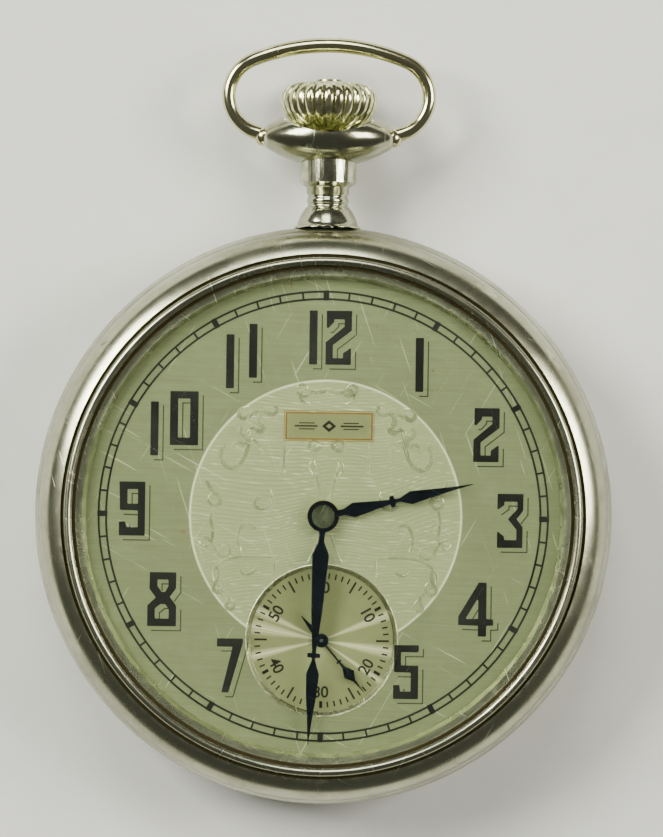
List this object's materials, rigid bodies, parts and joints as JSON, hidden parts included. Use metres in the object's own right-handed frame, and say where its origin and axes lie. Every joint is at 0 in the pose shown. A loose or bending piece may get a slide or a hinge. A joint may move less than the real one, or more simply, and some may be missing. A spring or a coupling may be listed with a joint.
{
  "type": "open face pocket watch",
  "caption": "Open face pocket watch with a screw back and bezel, bow, pull-out crown, sunk seconds dial and a full lever movement inside.",
  "frame": {"origin": "centre of the flat resting face of the back, on the case axis", "axes": "+Z out of the dial, +Y towards 12 o'clock and the pendant, +X towards 3 o'clock; the watch lies on its back"},
  "size_m": [0.0508, 0.0675, 0.0134],
  "materials": {
    "case_nickel": "polished nickel silver, lightly worn",
    "dial_silver": "silvered, fine vertical grain",
    "blued_steel": "heat blued",
    "glass": "clear, polished",
    "plate_nickel": "striped nickel",
    "brass": "gilt brass",
    "ruby": "polished synthetic ruby",
    "polished_steel": "polished"
  },
  "bodies": {
    "back": {"back_cover": "case_nickel"},
    "case": {"case_center": "case_nickel", "bow_head": "case_nickel", "pendant_neck": "case_nickel", "pendant_sleeve": "polished_steel", "case_screws": "polished_steel", "pillar_plate": "plate_nickel", "barrel_bridge": "plate_nickel", "train_bridge": "plate_nickel", "balance_cock": "plate_nickel", "pallet_bridge": "plate_nickel", "bridge_screws": "polished_steel", "train_jewels": "ruby", "click_spring": "polished_steel", "lever_screws": "polished_steel", "clutch_spring": "polished_steel", "hairspring": "blued_steel", "hairspring_stud": "brass", "dial": "dial_silver", "seconds_dial": "dial_silver"},
    "bow": {"bow": "case_nickel"},
    "crystal": {"crystal": "glass"},
    "bezel": {"bezel": "case_nickel"},
    "winding_pinion": {"winding_pinion": "polished_steel"},
    "crown": {"crown": "case_nickel", "stem": "polished_steel", "winding_arbor": "polished_steel"},
    "clutch": {"clutch": "polished_steel"},
    "setting_lever": {"setting_lever": "polished_steel"},
    "clutch_lever": {"clutch_lever": "polished_steel"},
    "crown_wheel": {"crown_wheel": "polished_steel"},
    "ratchet": {"ratchet_wheel": "polished_steel", "ratchet_screw": "polished_steel", "barrel_arbor": "polished_steel"},
    "click": {"click": "polished_steel"},
    "barrel": {"barrel_drum": "brass", "barrel_cover": "brass", "mainspring": "blued_steel"},
    "centre": {"centre_wheel": "brass", "centre_pinion": "polished_steel", "cannon_pinion": "polished_steel", "minute_hand": "blued_steel"},
    "third": {"third_wheel": "brass", "third_pinion": "polished_steel"},
    "fourth": {"fourth_wheel": "brass", "fourth_pinion": "polished_steel", "seconds_hand": "blued_steel"},
    "escape": {"escape_wheel": "polished_steel", "escape_pinion": "polished_steel"},
    "pallet": {"pallet_fork": "polished_steel", "pallet_stones": "ruby"},
    "balance": {"balance_wheel": "brass", "balance_screws": "brass", "balance_staff": "polished_steel"},
    "regulator": {"regulator": "polished_steel"},
    "hour": {"hour_wheel": "brass", "hour_hand": "blued_steel"},
    "minute_wheel": {"minute_wheel": "brass"},
    "setting_wheel": {"setting_wheel": "polished_steel"}
  },
  "joints": [
    {"name": "back_lift", "type": "slide", "parent": "back", "child": "case", "axis": [0, 0, 1], "range_m": [0, 0.014]},
    {"name": "bow_swing", "type": "hinge", "parent": "case", "child": "bow", "pos_m": [0, 0.03331, 0.0052], "axis": [1, 0, 0], "range_deg": [-95, 95]},
    {"name": "bezel_advance", "type": "slide", "parent": "case", "child": "crystal", "axis": [0, 0, 1], "range_m": [0, 0.0011]},
    {"name": "bezel_turn", "type": "hinge", "parent": "crystal", "child": "bezel", "pos_m": [0, 0, 0.009], "axis": [0, 0, 1], "range_deg": [0, 1080]},
    {"name": "stem_turn", "type": "hinge", "parent": "case", "child": "winding_pinion", "pos_m": [0, 0.02, 0.0052], "axis": [0, 1, 0], "continuous": true},
    {"name": "crown_pull", "type": "slide", "parent": "winding_pinion", "child": "crown", "axis": [0, 1, 0], "range_m": [0, 0.0009]},
    {"name": "clutch_slide", "type": "slide", "parent": "winding_pinion", "child": "clutch", "axis": [0, 1, 0], "range_m": [-0.00073, 0]},
    {"name": "setting_lever_turn", "type": "hinge", "parent": "case", "child": "setting_lever", "pos_m": [0.0048, 0.0184, 0.0086], "axis": [0, 0, 1], "range_deg": [-11, 0]},
    {"name": "clutch_lever_turn", "type": "hinge", "parent": "case", "child": "clutch_lever", "pos_m": [-0.0048, 0.0132, 0.0086], "axis": [0, 0, 1], "range_deg": [-9, 0]},
    {"name": "crown_wheel_turn", "type": "hinge", "parent": "case", "child": "crown_wheel", "pos_m": [0, 0.01164, 0.002], "axis": [0, 0, 1], "continuous": true},
    {"name": "ratchet_turn", "type": "hinge", "parent": "case", "child": "ratchet", "pos_m": [0.00902, 0.00328, 0.002], "axis": [0, 0, 1], "continuous": true},
    {"name": "click_swing", "type": "hinge", "parent": "case", "child": "click", "pos_m": [0.0133, 0.0107, 0.002], "axis": [0, 0, 1], "range_deg": [-5, 0], "stiffness_Nm_per_rad": 0.000002, "springref_deg": -5},
    {"name": "seconds_turn", "type": "hinge", "parent": "case", "child": "fourth", "pos_m": [0, -0.0108, 0.005], "axis": [0, 0, -1], "continuous": true},
    {"name": "third_turn", "type": "hinge", "parent": "case", "child": "third", "pos_m": [0.0029, -0.0061, 0.005], "axis": [0, 0, -1], "continuous": true},
    {"name": "minute_turn", "type": "hinge", "parent": "case", "child": "centre", "pos_m": [0, 0, 0.005], "axis": [0, 0, -1], "continuous": true},
    {"name": "hour_turn", "type": "hinge", "parent": "case", "child": "hour", "pos_m": [0, 0, 0.009], "axis": [0, 0, -1], "continuous": true},
    {"name": "minute_wheel_turn", "type": "hinge", "parent": "case", "child": "minute_wheel", "pos_m": [0, 0.0036, 0.0086], "axis": [0, 0, -1], "continuous": true},
    {"name": "setting_wheel_turn", "type": "hinge", "parent": "case", "child": "setting_wheel", "pos_m": [0, 0.0081, 0.008], "axis": [0, 0, -1], "continuous": true},
    {"name": "barrel_turn", "type": "hinge", "parent": "case", "child": "barrel", "pos_m": [0.00902, 0.00328, 0.005], "axis": [0, 0, -1], "continuous": true},
    {"name": "escape_turn", "type": "hinge", "parent": "case", "child": "escape", "pos_m": [-0.00487, -0.01285, 0.005], "axis": [0, 0, -1], "continuous": true},
    {"name": "balance_swing", "type": "hinge", "parent": "case", "child": "balance", "pos_m": [-0.01049, -0.00642, 0.005], "axis": [0, 0, 1], "range_deg": [-26, 26], "stiffness_Nm_per_rad": 0.0000027},
    {"name": "pallet_swing", "type": "hinge", "parent": "case", "child": "pallet", "pos_m": [-0.00753, -0.00981, 0.005], "axis": [0, 0, 1], "range_deg": [-5, 5]},
    {"name": "regulator_turn", "type": "hinge", "parent": "case", "child": "regulator", "pos_m": [-0.01049, -0.00642, 0.0018], "axis": [0, 0, 1], "range_deg": [-18, 18]}
  ],
  "couplings": [
    {"joint": "third_turn", "follows": "seconds_turn", "ratio": -0.13333},
    {"joint": "minute_turn", "follows": "seconds_turn", "ratio": 0.016667},
    {"joint": "barrel_turn", "follows": "seconds_turn", "ratio": -0.002381},
    {"joint": "escape_turn", "follows": "seconds_turn", "ratio": -10},
    {"joint": "minute_wheel_turn", "follows": "seconds_turn", "ratio": -0.0055556},
    {"joint": "hour_turn", "follows": "seconds_turn", "ratio": 0.0013889},
    {"joint": "setting_wheel_turn", "follows": "seconds_turn", "ratio": 0.0083333},
    {"joint": "crown_wheel_turn", "follows": "stem_turn", "ratio": 0.5},
    {"joint": "ratchet_turn", "follows": "stem_turn", "ratio": -0.47619},
    {"joint": "pallet_swing", "follows": "balance_swing", "ratio": -0.183},
    {"joint": "bezel_advance", "follows": "bezel_turn", "m_per_rad": 0.000055704},
    {"joint": "clutch_slide", "follows": "crown_pull", "ratio": -0.8},
    {"joint": "setting_lever_turn", "follows": "crown_pull", "rad_per_m": -208.33},
    {"joint": "clutch_lever_turn", "follows": "crown_pull", "rad_per_m": -166.67}
  ]
}
